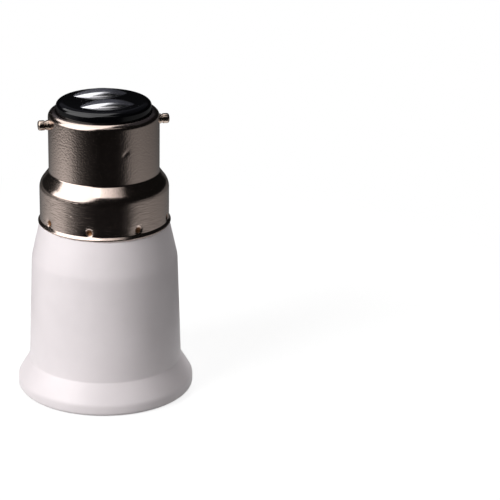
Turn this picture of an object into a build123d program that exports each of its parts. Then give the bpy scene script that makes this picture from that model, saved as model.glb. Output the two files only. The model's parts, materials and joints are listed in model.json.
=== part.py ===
from build123d import *
from math import radians, tan
import os

# Lamp socket adapter: a two-pin bayonet cap on a white body with a screw socket.
# Millimetres. The origin is the centre of the mouth rim, +Z points up to the bayonet end,
# and the bayonet pins lie along X. Angles are counted from the pin axis.

# Body, outside
body_height = 35.3              # mouth rim to the top, where the cap's rim lands
lip_diameter = 35.6             # widest, at the mouth lip
lip_height = 2.3                # upright band of the lip
lip_edge_radius = 0.9           # rounding of the lip at the rim
lip_flare_radius = 1.6          # rounding between the lip band and the flare
lip_width = 2.0                 # of the rim that it stands on, before its edges are rounded
flare_top = 6.3                 # height of the crease between flare and wall
wall_base_thickness = 1.65      # wall round the shell's pocket, at that crease
shoulder_height = 27.9          # crease where the wall turns into the conical top
shoulder_thickness = 1.775      # wall round the shell's skirt, at that crease
body_top_ledge = 0.75           # ledge round the neck, where the cap's rim lands
neck_length = 6.9               # spigot that goes up inside the cap's skirt
neck_wall = 1.35
floor_thickness = 2.5

# Screw socket
mouth_edge_radius = 0.5         # rounding of the rim's inner edge
shell_depth = 7.7               # from the mouth rim to the edge of the screw shell
shell_lip = 0.25                # how far the body's edge stands over the shell's edge
thread_pitch = 3.629            # 7 threads to the inch
thread_bore_diameter = 24.5     # over the thread's crests
thread_depth = 1.1
thread_land = 1.23              # crests and roots before they are rounded
thread_rounding = 0.8
thread_lead_in = 2.45           # from the body's edge to the first crest
thread_crests = 3
shell_skirt_ease = 0.2          # how far the plain skirt beyond the thread stands back from the crests
shell_skirt_step = 0.5          # length over which the last crest opens out to that skirt
skirt_end_gap = 6.6             # from the end of the shell's plain skirt to the floor
shell_sheet = 0.3
shell_clearance = 0.1           # between the shell and the body

# Inner walls that hold the shell's skirt, with gaps between them
inner_wall_count = 3
inner_wall_sweep = 72.0
inner_wall_start = -53.0        # angle of the first wall's edge
inner_wall_setback = 0.08       # from the start of the plain skirt to the walls' ends
inner_wall_thickness = 2.05
inner_wall_root = 0.4           # how deep their feet run into the body's wall

# Centre contact: a copper rivet on a pedestal
contact_depth = 27.2            # from the mouth rim to the top of the rivet's head
rivet_head_diameter = 6.6
rivet_head_height = 1.6
rivet_dimple_diameter = 1.8
rivet_dimple_depth = 0.5
rivet_shank_diameter = 2.8
rivet_tail_diameter = 4.6
rivet_tail_height = 0.9
rivet_clearance = 0.05
pedestal_diameter = 7.4

# Bayonet cap, size 25 x 26
cap_height = 26.0               # rim to the tops of the contacts
cap_sheet = 0.35
cap_clearance = 0.08            # between the cap and what it holds
rim_flare = 0.38
rim_band = 0.4                  # upright part of the flared rim
rim_height = 1.1
rim_edge_radius = 0.14
skirt_diameter = 25.76
skirt_length = 8.1              # rim to the lower edge of the shoulder
shoulder_length = 2.5
barrel_diameter = 22.0
shoulder_edge_radius = 1.6      # where the skirt turns into the shoulder
barrel_edge_radius = 1.45       # of the rolled top edge
cap_bend_radius = 0.6           # where the shoulder meets the barrel
rim_bend_radius = 0.45
barrel_roll_width = 1.5         # of the rolled top edge, round the opening that it leaves

# Crimp punches round the skirt
crimp_count = 8
crimp_start = 20.5
crimp_height = 1.6              # above the rim
crimp_diameter = 1.3            # at the skirt's surface
crimp_point_diameter = 0.5
crimp_depth = 0.55

# Bayonet pins
pin_diameter = 2.0
pin_projection = 2.1            # of each pin beyond the barrel
pin_drop = 5.55                 # from the contact tops down to the pins' axis
pin_nose_radius = 0.4
pin_collar_length = 0.45        # collar against the barrel
pin_neck_length = 0.4           # shallow neck beyond the collar
pin_neck_depth = 0.12
pin_shank_diameter = 1.5
pin_seat_depth = 1.9            # of each pin in the insulator
pin_clearance = 0.04

# Insulator
insulator_proud = 2.0           # above the cap's rolled edge
insulator_edge_radius = 1.0
insulator_length = 6.0          # below the cap's rolled edge
insulator_recess_depth = 2.0
insulator_wall = 2.87           # round the recess

# Cap contacts
contact_length = 10.7           # along the pin axis
contact_width = 3.9
contact_height = 1.1            # above the insulator
contact_pitch = 7.5             # across the pin axis
contact_stem_diameter = 2.2
contact_stem_proud = 1.0        # below the roof of the insulator's recess
contact_stem_clearance = 0.05

# Inner leads and their joints
lead_core_diameter = 0.9
lead_sleeve_diameter = 1.8
lead_clearance = 0.02           # round the core, in its sleeve and its cups
lead_cup_depth = 1.3            # cups that take the bare ends
lead_bare_length = 1.9          # bare core beyond a cup or joint
lead_hole_diameter = 2.4
lead_hole_margin = 0.1          # between the holes in the floor and the neck's wall
lead_easing = 0.45              # share of the shorter run that a bend may use
lead_knee_above_rivet = 7.1     # heights of the bends, from what lies under or over them
lead_knee_below_stem = 6.2
lead_knee_above_skirt = 3.0
lead_knee_below_floor = 1.3
lead_knee_above_floor = 3.5
solder_height = 0.8
solder_length = 2.6             # of the joint on the screw shell
solder_diameter = 2.0

# Heights that follow
rim_z = body_height
contact_top_z = rim_z + cap_height
insulator_top_z = contact_top_z - contact_height
barrel_top_z = insulator_top_z - insulator_proud
insulator_seat_z = barrel_top_z - cap_sheet - cap_clearance
insulator_base_z = barrel_top_z - insulator_length
recess_top_z = insulator_base_z + insulator_recess_depth
stem_end_z = recess_top_z - contact_stem_proud
skirt_top_z = rim_z + skirt_length
barrel_base_z = skirt_top_z + shoulder_length
pin_z = contact_top_z - pin_drop
crimp_z = rim_z + crimp_height
floor_z = body_height - floor_thickness
skirt_end_z = floor_z - skirt_end_gap
neck_top_z = body_height + neck_length
rivet_seat_z = contact_depth + rivet_head_height
rivet_tail_z = body_height + rivet_tail_height
last_crest_z = shell_depth + thread_lead_in + (thread_crests - 1) * thread_pitch
shell_skirt_z = last_crest_z + thread_land / 2 + shell_skirt_step
inner_wall_z = shell_skirt_z + inner_wall_setback

# Radii and angles that follow
skirt_radius = skirt_diameter / 2
barrel_radius = barrel_diameter / 2
neck_radius = skirt_radius - cap_sheet - cap_clearance
crimp_groove_radius = skirt_radius - crimp_depth - cap_sheet - cap_clearance
insulator_radius = barrel_radius - cap_sheet - cap_clearance
barrel_mouth_radius = barrel_radius - barrel_roll_width
insulator_boss_radius = barrel_mouth_radius - cap_clearance
insulator_recess_radius = insulator_radius - insulator_wall
pin_end = barrel_radius + pin_projection
thread_bore_radius = thread_bore_diameter / 2
thread_root_radius = thread_bore_radius + thread_depth
pocket_radius = thread_root_radius + shell_sheet + shell_clearance
shell_skirt_radius = thread_bore_radius + shell_skirt_ease
skirt_pocket_radius = shell_skirt_radius + shell_sheet + shell_clearance
inner_wall_radius = shell_skirt_radius - shell_clearance
inner_wall_bore_radius = inner_wall_radius - inner_wall_thickness
lip_radius = lip_diameter / 2
mouth_radius = lip_radius - lip_width
wall_base_radius = pocket_radius + wall_base_thickness
shoulder_radius = skirt_pocket_radius + shoulder_thickness
body_top_radius = neck_radius + body_top_ledge
lead_hole_place = neck_radius - neck_wall - lead_hole_margin - lead_hole_diameter / 2
core_radius = lead_core_diameter / 2
core_hole_radius = core_radius + lead_clearance
pin_hole_radius = pin_shank_diameter / 2 + pin_clearance
gap_pitch = 360 / inner_wall_count
first_gap = inner_wall_start + (gap_pitch + inner_wall_sweep) / 2
lead_gap = first_gap + gap_pitch

os.makedirs("parts", exist_ok=True)


def finish(piece, label):
    """Name a finished piece and write it."""
    piece.label = label
    export_step(piece, f"parts/{label}.step")


# White body: mouth, shell pocket, floor and neck are one turned section
body_outline = [
    (lip_radius, 0),
    (lip_radius, lip_height),
    (wall_base_radius, flare_top),
    (shoulder_radius, shoulder_height),
    (body_top_radius, body_height),
    (neck_radius, body_height),
    (neck_radius, neck_top_z),
    (neck_radius - neck_wall, neck_top_z),
    (neck_radius - neck_wall, body_height),
    (0, body_height),
    (0, floor_z),
    (skirt_pocket_radius, floor_z),
    (skirt_pocket_radius, last_crest_z),
    (pocket_radius, last_crest_z),
    (pocket_radius, shell_depth),
    (pocket_radius - shell_lip, shell_depth),
    (mouth_radius, 0),
]
body_rounding = [0] * len(body_outline)
body_rounding[0] = lip_edge_radius
body_rounding[1] = lip_flare_radius
body_rounding[-1] = mouth_edge_radius

# Curved inner wall: free beside the shell's skirt, its foot joined to the body
inner_wall_outline = [
    (inner_wall_bore_radius, inner_wall_z),
    (inner_wall_radius, inner_wall_z),
    (inner_wall_radius, skirt_end_z + shell_clearance),
    (skirt_pocket_radius + inner_wall_root, skirt_end_z + shell_clearance),
    (skirt_pocket_radius + inner_wall_root, floor_z),
    (inner_wall_bore_radius, floor_z),
]

with BuildPart() as socket_body:
    with BuildSketch(Plane.XZ):
        with BuildLine():
            FilletPolyline(body_outline, radius=body_rounding, close=True)
        make_face()
    revolve(axis=Axis.Z)
    for index in range(inner_wall_count):
        turn = inner_wall_start + index * gap_pitch
        with BuildSketch(Plane.XZ.rotated((0, 0, turn))):
            with BuildLine():
                Polyline(inner_wall_outline, close=True)
            make_face()
        revolve(axis=Axis.Z, revolution_arc=inner_wall_sweep)
    with BuildSketch(Plane.XY.offset(rivet_seat_z)):
        Circle(pedestal_diameter / 2)
    extrude(amount=floor_z - rivet_seat_z)
    with BuildSketch(Plane.XY.offset(rivet_seat_z)):
        Circle(rivet_shank_diameter / 2 + rivet_clearance)
    extrude(amount=body_height - rivet_seat_z, mode=Mode.SUBTRACT)
    with BuildSketch(Plane.XY.offset(floor_z)):
        with PolarLocations(lead_hole_place, inner_wall_count, first_gap):
            Circle(lead_hole_diameter / 2)
    extrude(amount=floor_thickness, mode=Mode.SUBTRACT)
    with BuildSketch(Plane.XY.offset(crimp_z)):
        Circle(neck_radius)
        Circle(crimp_groove_radius, mode=Mode.SUBTRACT)
    extrude(amount=crimp_diameter / 2 + cap_clearance, both=True, mode=Mode.SUBTRACT)
finish(socket_body.part, "socket_body")

# Aluminium screw shell: rolled round thread, then a plain skirt between body and inner walls
thread_outline = [(thread_root_radius, shell_depth + shell_clearance)]
for index in range(thread_crests):
    crest_z = shell_depth + thread_lead_in + index * thread_pitch
    flank_foot = (thread_pitch - thread_land) / 2
    thread_outline.append((thread_root_radius, crest_z - flank_foot))
    thread_outline.append((thread_bore_radius, crest_z - thread_land / 2))
    thread_outline.append((thread_bore_radius, crest_z + thread_land / 2))
    thread_outline.append((thread_root_radius, crest_z + flank_foot))
thread_outline[-1] = (shell_skirt_radius, shell_skirt_z)
thread_outline.append((shell_skirt_radius, skirt_end_z))

with BuildPart() as screw_shell:
    with BuildSketch(Plane.XZ):
        with BuildLine():
            FilletPolyline(thread_outline, radius=thread_rounding)
            offset(amount=shell_sheet, side=Side.RIGHT)
        make_face()
    revolve(axis=Axis.Z)
finish(screw_shell.part, "screw_shell")

# Copper centre contact: domed head with a dimple, shank through the floor, spread tail with a cup
with BuildPart() as centre_contact:
    with BuildSketch(Plane.XZ):
        with BuildLine():
            head_edge = (rivet_head_diameter / 2, rivet_seat_z)
            Line((0, contact_depth), (0, rivet_tail_z))
            Line((0, rivet_tail_z), (rivet_tail_diameter / 2, rivet_tail_z))
            Line((rivet_tail_diameter / 2, rivet_tail_z), (rivet_tail_diameter / 2, body_height))
            Line((rivet_tail_diameter / 2, body_height), (rivet_shank_diameter / 2, body_height))
            Line((rivet_shank_diameter / 2, body_height), (rivet_shank_diameter / 2, rivet_seat_z))
            Line((rivet_shank_diameter / 2, rivet_seat_z), head_edge)
            EllipticalCenterArc(
                (0, rivet_seat_z), rivet_head_diameter / 2, rivet_head_height, 270, arc_size=90
            )
        make_face()
    revolve(axis=Axis.Z)
    with Locations((0, 0, contact_depth)):
        Cone(
            rivet_dimple_diameter / 2, rivet_dimple_diameter / 4, rivet_dimple_depth,
            align=(Align.CENTER, Align.CENTER, Align.MIN), mode=Mode.SUBTRACT,
        )
    with BuildSketch(Plane.XY.offset(rivet_tail_z)):
        Circle(core_hole_radius)
    extrude(amount=-lead_cup_depth, mode=Mode.SUBTRACT)
finish(centre_contact.part, "centre_contact")

# Plated bayonet cap: one drawn sheet with flared rim, skirt, shoulder, barrel and rolled top edge
cap_outline = [
    (skirt_radius + rim_flare, rim_z),
    (skirt_radius + rim_flare, rim_z + rim_band),
    (skirt_radius, rim_z + rim_height),
    (skirt_radius, skirt_top_z),
    (barrel_radius, barrel_base_z),
    (barrel_radius, barrel_top_z),
    (barrel_mouth_radius, barrel_top_z),
]
cap_bends = [
    rim_bend_radius, rim_bend_radius, shoulder_edge_radius, cap_bend_radius, barrel_edge_radius,
]

with BuildPart() as bayonet_cap:
    with BuildSketch(Plane.XZ):
        with BuildLine():
            FilletPolyline(cap_outline, radius=cap_bends)
            offset(amount=cap_sheet, side=Side.LEFT)
        make_face()
    revolve(axis=Axis.Z)
    fillet(bayonet_cap.edges().filter_by(GeomType.CIRCLE).group_by(Axis.Z)[0], rim_edge_radius)
    # Each punch pushes the sheet in: a blunt cone inside, and the same cone hollow from outside
    punch_wall = crimp_depth + cap_sheet
    with PolarLocations(skirt_radius, crimp_count, crimp_start):
        with Locations((0, 0, crimp_z)):
            Cone(
                crimp_diameter / 2, crimp_point_diameter / 2 + cap_sheet / 2, punch_wall,
                rotation=(0, -90, 0), align=(Align.CENTER, Align.CENTER, Align.MIN),
            )
            Cone(
                crimp_diameter / 2, crimp_point_diameter / 2, crimp_depth, rotation=(0, -90, 0),
                align=(Align.CENTER, Align.CENTER, Align.MIN), mode=Mode.SUBTRACT,
            )
    with Locations((0, 0, pin_z)):
        Cylinder(pin_hole_radius, barrel_diameter, rotation=(0, 90, 0), mode=Mode.SUBTRACT)
finish(bayonet_cap.part, "bayonet_cap")

# Bayonet pins: collar on the barrel, shallow neck, round nose, and a shank into the insulator
pin_outline = [
    (insulator_radius - pin_seat_depth, 0),
    (insulator_radius - pin_seat_depth, pin_shank_diameter / 2),
    (barrel_radius, pin_shank_diameter / 2),
    (barrel_radius, pin_diameter / 2),
    (barrel_radius + pin_collar_length, pin_diameter / 2),
    (barrel_radius + pin_collar_length, pin_diameter / 2 - pin_neck_depth),
    (barrel_radius + pin_collar_length + pin_neck_length, pin_diameter / 2 - pin_neck_depth),
    (barrel_radius + pin_collar_length + pin_neck_length, pin_diameter / 2),
    (pin_end, pin_diameter / 2),
    (pin_end, 0),
]
pin_rounding = [0] * len(pin_outline)
pin_rounding[-2] = pin_nose_radius

for side, label in ((-1, "bayonet_pin_left"), (1, "bayonet_pin_right")):
    with BuildPart() as bayonet_pin:
        pin_plane = Plane((0, 0, pin_z), x_dir=(side, 0, 0), z_dir=(0, -side, 0))
        with BuildSketch(pin_plane):
            with BuildLine():
                FilletPolyline(pin_outline, radius=pin_rounding, close=True)
            make_face()
        revolve(axis=Axis((0, 0, pin_z), (1, 0, 0)))
    finish(bayonet_pin.part, label)

# Black insulator: flange under the cap's rolled edge, boss standing out of it, recess below
insulator_outline = [
    (0, insulator_top_z),
    (insulator_boss_radius, insulator_top_z),
    (insulator_boss_radius, insulator_seat_z),
    (insulator_radius, insulator_seat_z),
    (insulator_radius, insulator_base_z),
    (insulator_recess_radius, insulator_base_z),
    (insulator_recess_radius, recess_top_z),
    (0, recess_top_z),
]
insulator_rounding = [0] * len(insulator_outline)
insulator_rounding[1] = insulator_edge_radius
insulator_rounding[3] = barrel_edge_radius - cap_sheet

with BuildPart() as insulator:
    with BuildSketch(Plane.XZ):
        with BuildLine():
            FilletPolyline(insulator_outline, radius=insulator_rounding, close=True)
        make_face()
    revolve(axis=Axis.Z)
    with BuildSketch(Plane.XY.offset(recess_top_z)):
        with GridLocations(0, contact_pitch, 1, 2):
            Circle(contact_stem_diameter / 2 + contact_stem_clearance)
    extrude(amount=insulator_top_z - recess_top_z, mode=Mode.SUBTRACT)
    for side in (-1, 1):
        with Locations((side * insulator_radius, 0, pin_z)):
            Cylinder(
                pin_hole_radius, 2 * (pin_seat_depth + pin_clearance), rotation=(0, 90, 0),
                mode=Mode.SUBTRACT,
            )
finish(insulator.part, "insulator")

# Cap contacts: long low domes on the insulator, each with a stem that takes its lead's bare end
crown_radius = (contact_width**2 / 4 + contact_height**2) / (2 * contact_height)
crown_axis_z = contact_top_z - crown_radius
crown_end = crown_radius - contact_height

for side, label in ((-1, "contact_front"), (1, "contact_rear")):
    contact_y = side * contact_pitch / 2
    with BuildPart() as cap_contact:
        with BuildSketch(Plane((0, contact_y, crown_axis_z), x_dir=(1, 0, 0), z_dir=(0, -1, 0))):
            with BuildLine():
                tips = [(-contact_length / 2, crown_end), (contact_length / 2, crown_end)]
                ThreePointArc(tips[0], (0, crown_radius), tips[1])
                Polyline(tips[1], (contact_length / 2, 0), (-contact_length / 2, 0), tips[0])
            make_face()
        revolve(axis=Axis((0, contact_y, crown_axis_z), (1, 0, 0)))
        split(bisect_by=Plane.XY.offset(insulator_top_z), keep=Keep.TOP)
        with BuildSketch(Plane((0, contact_y, stem_end_z))):
            Circle(contact_stem_diameter / 2)
        extrude(amount=insulator_top_z - stem_end_z)
        with BuildSketch(Plane((0, contact_y, stem_end_z))):
            Circle(core_hole_radius)
        extrude(amount=lead_cup_depth, mode=Mode.SUBTRACT)
    finish(cap_contact.part, label)


def bend_radii(route):
    """Largest easy bend at each corner of a lead's route."""
    radii = []
    for before, corner, after in zip(route, route[1:], route[2:]):
        run_in = Vector(corner) - Vector(before)
        run_out = Vector(after) - Vector(corner)
        half_turn = radians(run_in.get_angle(run_out)) / 2
        radii.append(lead_easing * min(run_in.length, run_out.length) / tan(half_turn))
    return radii


def lead(route, radii, radius, bore_radius, label):
    """A lead's core or sleeve: a round section carried along straight runs and tangent bends."""
    with BuildPart() as wire:
        with BuildLine() as path:
            FilletPolyline(route, radius=radii)
        with BuildSketch(Plane(path.line @ 0, z_dir=path.line % 0)):
            Circle(radius)
            if bore_radius:
                Circle(bore_radius, mode=Mode.SUBTRACT)
        sweep()
    finish(wire.part, label)


# Lead from the centre contact to the rear cap contact, and lead from the shell to the front one
contact_rear_y = contact_pitch / 2
joint_offset = skirt_pocket_radius - lead_sleeve_diameter / 2 - shell_clearance
joint_top_z = skirt_end_z - lead_clearance
upper_knee_z = stem_end_z - lead_knee_below_stem


def in_gap(from_axis, z):
    """A point in the middle of the gap that the shell's lead uses."""
    point = Vector(from_axis, 0, z).rotate(Axis.Z, lead_gap)
    return (point.X, point.Y, point.Z)


centre_corners = [
    (0, 0, rivet_tail_z + lead_knee_above_rivet),
    (0, contact_rear_y, upper_knee_z),
]
shell_corners = [
    in_gap(joint_offset, skirt_end_z + lead_knee_above_skirt),
    in_gap(lead_hole_place, floor_z - lead_knee_below_floor),
    in_gap(lead_hole_place, body_height + lead_knee_above_floor),
    (0, -contact_rear_y, upper_knee_z),
]
lead_ends = {
    "centre_lead": ((0, 0, rivet_tail_z), centre_corners, (0, contact_rear_y, stem_end_z)),
    "shell_lead": (in_gap(joint_offset, joint_top_z), shell_corners, (0, -contact_rear_y, stem_end_z)),
}
core_tails = {"centre_lead": lead_cup_depth - lead_clearance, "shell_lead": solder_length}
for label, (start, corners, end) in lead_ends.items():
    sleeve_start = Vector(start) + Vector(0, 0, lead_bare_length / 2)
    sleeve_end = Vector(end) - Vector(0, 0, lead_bare_length)
    core_start = Vector(start) - Vector(0, 0, core_tails[label])
    core_end = Vector(end) + Vector(0, 0, lead_cup_depth - lead_clearance)
    radii = bend_radii([sleeve_start, *corners, sleeve_end])
    print(label, "bend radii", [round(radius, 2) for radius in radii])
    lead([core_start, *corners, core_end], radii, core_radius, 0, f"{label}_core")
    lead(
        [sleeve_start, *corners, sleeve_end], radii, lead_sleeve_diameter / 2, core_hole_radius,
        f"{label}_sleeve",
    )


# Solder: a cone round the bare end at each cup, and a bead on the inside of the shell's skirt
solder_cups = {
    "solder_centre_contact": (0, rivet_tail_z, 1, rivet_shank_diameter / 2),
    "solder_contact_front": (-contact_rear_y, stem_end_z, -1, contact_stem_diameter / 2),
    "solder_contact_rear": (contact_rear_y, stem_end_z, -1, contact_stem_diameter / 2),
}
for label, (cup_y, cup_z, outwards, foot_radius) in solder_cups.items():
    with BuildPart() as solder_cone:
        with BuildSketch(Plane((0, cup_y, cup_z), x_dir=(1, 0, 0), z_dir=(0, -1, 0))):
            with BuildLine():
                Polyline(
                    (core_hole_radius, 0),
                    (foot_radius, 0),
                    (lead_core_diameter, outwards * solder_height / 2),
                    (core_hole_radius, outwards * solder_height),
                    close=True,
                )
            make_face()
        revolve(axis=Axis((0, cup_y, 0), (0, 0, 1)))
    finish(solder_cone.part, label)

with BuildPart() as solder_bead:
    with BuildSketch(Plane(in_gap(joint_offset, joint_top_z - solder_length))):
        Circle(solder_diameter / 2)
    extrude(amount=solder_length)
    fillet(solder_bead.edges().filter_by(GeomType.CIRCLE), solder_diameter / 4)
    with BuildSketch(Plane(in_gap(joint_offset, joint_top_z - solder_length))):
        Circle(core_hole_radius)
    extrude(amount=solder_length, mode=Mode.SUBTRACT)
    with BuildSketch(Plane.XY.offset(joint_top_z - solder_length)):
        Circle(shell_skirt_radius)
    extrude(amount=solder_length, mode=Mode.INTERSECT)
finish(solder_bead.part, "solder_screw_shell")
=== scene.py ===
import json
import math

import bmesh
import bpy
import numpy as np
from mathutils import Euler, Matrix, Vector


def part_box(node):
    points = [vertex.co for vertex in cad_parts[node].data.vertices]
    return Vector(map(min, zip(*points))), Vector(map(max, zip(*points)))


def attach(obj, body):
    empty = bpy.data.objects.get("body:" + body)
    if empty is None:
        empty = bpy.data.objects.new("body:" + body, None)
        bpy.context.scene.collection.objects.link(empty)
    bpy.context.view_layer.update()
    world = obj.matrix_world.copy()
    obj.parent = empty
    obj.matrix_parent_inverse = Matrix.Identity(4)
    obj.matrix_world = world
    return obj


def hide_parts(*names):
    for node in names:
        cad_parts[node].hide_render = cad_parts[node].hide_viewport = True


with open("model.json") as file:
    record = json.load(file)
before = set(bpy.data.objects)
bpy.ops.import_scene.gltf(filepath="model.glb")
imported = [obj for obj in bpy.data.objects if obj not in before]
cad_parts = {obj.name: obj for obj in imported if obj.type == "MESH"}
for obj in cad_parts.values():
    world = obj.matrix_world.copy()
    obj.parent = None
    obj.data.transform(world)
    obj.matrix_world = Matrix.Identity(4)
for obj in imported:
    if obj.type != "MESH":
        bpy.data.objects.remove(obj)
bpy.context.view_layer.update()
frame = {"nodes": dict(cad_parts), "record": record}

# White body: one moulding of polyester plastic (PBT), shot in a polished steel mould. It has the flared
# mouth, the pocket of the screw shell with three curved walls, the floor, and the neck inside the cap.
# Sizes in this file are millimetres, and angles are degrees counted from the pin axis, +X.
MM = 0.001
TURN = 2 * math.pi
WELD_DISTANCE = 0.0002
SHARP_ANGLE = math.radians(38)

lip_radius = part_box("socket_body")[1].x / MM
neck_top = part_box("socket_body")[1].z / MM
body_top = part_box("bayonet_cap")[0].z / MM
shell_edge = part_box("screw_shell")[0].z / MM
skirt_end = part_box("screw_shell")[1].z / MM
lip_width = 2.0
lip_height = 2.3
lip_edge_radius = 0.9
lip_flare_radius = 1.6
mouth_radius = lip_radius - lip_width
mouth_edge_radius = 0.5
flare_top = 6.3
flare_crease_radius = 0.7
wall_base_radius = 15.4
shoulder_height = 27.9
shoulder_radius = 14.625
shoulder_crease_radius = 6.0
body_top_radius = 12.95
body_top_edge = 0.3
neck_radius = 12.45
neck_bore_radius = 11.1
neck_edge_radius = 0.2
crimp_rise = 1.6
crimp_height = body_top + crimp_rise
groove_radius = 11.9
groove_half_width = 0.73
floor_thickness = 2.5
floor_underside = body_top - floor_thickness
shell_clearance = 0.1
ledge_edge_radius = 0.08
pocket_edge_radius = 13.5
pocket_radius = 13.75
pocket_end = 17.408
skirt_pocket_radius = 12.85
wall_bore_radius = 10.3
wall_outer_radius = 12.35
wall_foot_depth = 0.05
wall_edge_radius = 0.35
wall_end = 18.605
wall_seam_height = 25
wall_sweep = 72
wall_starts = (-53, 67, 187)
wall_columns = 48
pedestal_radius = 3.7
pedestal_end = 28.8
rivet_hole_radius = 1.45
lead_hole_radius = 1.2
lead_hole_place = 9.8
lead_hole_angles = (-77, 43, 163)
sector_half = 180 / len(lead_hole_angles)
body_columns = 288
sector_steps = 16


def linear(hex_colour):
    """An sRGB hex colour as linear red, green, blue and a full alpha."""
    srgb = np.array([int(hex_colour[i:i + 2], 16) for i in (1, 3, 5)]) / 255
    light = np.where(srgb <= 0.04045, srgb / 12.92, ((srgb + 0.055) / 1.055) ** 2.4)
    return (*light, 1.0)


def new_finish(name):
    """An empty node material."""
    finish = bpy.data.materials.new(name)
    finish.use_nodes = True
    finish.node_tree.nodes.clear()
    return finish


def node(owner, kind, sockets=None, **settings):
    """Add a node with its settings to a material or world. A socket takes a node, which stands for its first
    output, or an output, or a plain value."""
    made = owner.node_tree.nodes.new("ShaderNode" + kind)
    for name, value in settings.items():
        setattr(made, name, value)
    for name, value in (sockets or {}).items():
        if isinstance(value, bpy.types.Node):
            value = value.outputs[0]
        if isinstance(value, bpy.types.NodeSocket):
            owner.node_tree.links.new(value, made.inputs[name])
        else:
            made.inputs[name].default_value = value
    return made


def rounded(corners, steps=8):
    """Points along straight runs whose corners (r, z, radius) are cut by arcs: each arc touches both runs,
    and its points turn about its centre in equal steps from the first touching point to the second."""
    corners = np.array(corners, float)
    share = np.linspace(0, 1, steps + 1)[:, None]
    stretches = [corners[:1, :2]]
    for before, (r, z, radius), after in zip(corners[:-2, :2], corners[1:-1], corners[2:, :2]):
        corner = np.array([r, z])
        back = (before - corner) / np.linalg.norm(before - corner)
        ahead = (after - corner) / np.linalg.norm(after - corner)
        sweep = math.pi - math.acos(np.clip(back @ ahead, -1, 1))
        if radius == 0:
            stretches.append(corner[None])
            continue
        reach = radius * math.tan(sweep / 2)
        first, last = corner + back * reach, corner + ahead * reach
        centre = corner + (back + ahead) / np.linalg.norm(back + ahead) * radius / math.cos(sweep / 2)
        arm = np.sin((1 - share) * sweep) * (first - centre) + np.sin(share * sweep) * (last - centre)
        stretches.append(centre + arm / math.sin(sweep))
    stretches.append(corners[-1:, :2])
    return np.concatenate(stretches)


def round_axis(radius, angle, height):
    """Points round the Z axis: x = radius cos angle, y = radius sin angle, z = height."""
    return np.stack([radius * np.cos(angle), radius * np.sin(angle), height + 0 * radius * angle], -1)


def turned(outline, columns, start=0.0, sweep=360.0):
    """A (radius, height) outline carried round the Z axis in equal steps over a sweep from a start angle."""
    angle = np.radians(start + np.linspace(0, sweep, columns + 1))
    return round_axis(outline[:, :1], angle, outline[:, 1:])


def grid_quads(grid, first=0):
    """Quads between neighbouring points of a grid, as point numbers counted row by row from the first."""
    index = first + np.arange(grid.shape[0] * grid.shape[1]).reshape(grid.shape[:2])
    return np.stack([index[:-1, :-1], index[:-1, 1:], index[1:, 1:], index[1:, :-1]], -1).reshape(-1, 4)


def welded_piece(name, grids, finish):
    """Grids of points in millimetres become one mesh of quads between neighbours. Points that meet are
    welded, and the mesh is shaded smooth except at edges that bend by more than the sharp angle."""
    points = np.concatenate([grid.reshape(-1, 3) for grid in grids]) * MM
    firsts = np.cumsum([0] + [grid.shape[0] * grid.shape[1] for grid in grids])
    quads = [grid_quads(grid, first) for grid, first in zip(grids, firsts)]
    mesh = bpy.data.meshes.new(name)
    mesh.from_pydata(points.tolist(), [], np.concatenate(quads).tolist())
    joined = bmesh.new()
    joined.from_mesh(mesh)
    bmesh.ops.remove_doubles(joined, verts=joined.verts, dist=WELD_DISTANCE * MM)
    bmesh.ops.recalc_face_normals(joined, faces=joined.faces)
    joined.to_mesh(mesh)
    joined.free()
    mesh.shade_smooth()
    mesh.set_sharp_from_angle(angle=SHARP_ANGLE)
    mesh.materials.append(finish)
    piece = bpy.data.objects.new(name, mesh)
    bpy.context.scene.collection.objects.link(piece)
    return piece


def pierced_floor(inner, outer, height, middle_angle):
    """A third of the ring-shaped floor with its lead hole. Once round the border of a square, each point
    gives a place on the sector's border and one on the hole's circle. Straight lines in polar coordinates,
    (1 - t) hole + t border, join the two."""
    along = np.linspace(-1, 1, body_columns // len(lead_hole_angles) + 1)
    across = np.linspace(-1, 1, sector_steps + 1)
    side = np.concatenate([along, 0 * across[1:] + 1, along[::-1][1:], 0 * across[1:] - 1])
    out = np.concatenate([0 * along + 1, across[::-1][1:], 0 * along[1:] - 1, across[1:]])
    border_radius = inner + (outer - inner) * (out + 1) / 2
    border_angle = side * math.radians(sector_half)
    turn = np.arctan2(out, side)
    hole_out = lead_hole_place + lead_hole_radius * np.sin(turn)
    hole_side = lead_hole_radius * np.cos(turn)
    share = np.linspace(0, 1, sector_steps + 1)[:, None]
    radius = (1 - share) * np.hypot(hole_out, hole_side) + share * border_radius
    angle = (1 - share) * np.arctan2(hole_side, hole_out) + share * border_angle + math.radians(middle_angle)
    return round_axis(radius, angle, height)


# Moulded white PBT is opaque, with a satin skin: soft broad sheen, a fine even grain, hardly any colour.
grain_width = 0.35
cloud_width = 9.0
white_pbt = new_finish("moulded_white_pbt")
place = node(white_pbt, "TexCoord").outputs["Object"]
grain = node(white_pbt, "TexNoise", {"Vector": place, "Scale": 1 / (grain_width * MM), "Detail": 2.0})
clouds = node(white_pbt, "TexNoise", {"Vector": place, "Scale": 1 / (cloud_width * MM), "Detail": 3.0})
tone = node(white_pbt, "ValToRGB", {"Fac": clouds})
tone.color_ramp.elements[0].position = 0.35
tone.color_ramp.elements[0].color = linear("#eee6e8")
tone.color_ramp.elements[1].position = 0.65
tone.color_ramp.elements[1].color = linear("#f3ebed")
satin = node(white_pbt, "MapRange", {"Value": grain, "To Min": 0.4, "To Max": 0.5})
skin = node(white_pbt, "Bump", {"Height": grain, "Strength": 0.05, "Distance": 0.02 * MM})
plastic = node(white_pbt, "BsdfPrincipled", {
    "Base Color": tone, "Roughness": satin, "IOR": 1.55, "Normal": skin})
node(white_pbt, "OutputMaterial", {"Surface": plastic})

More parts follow.
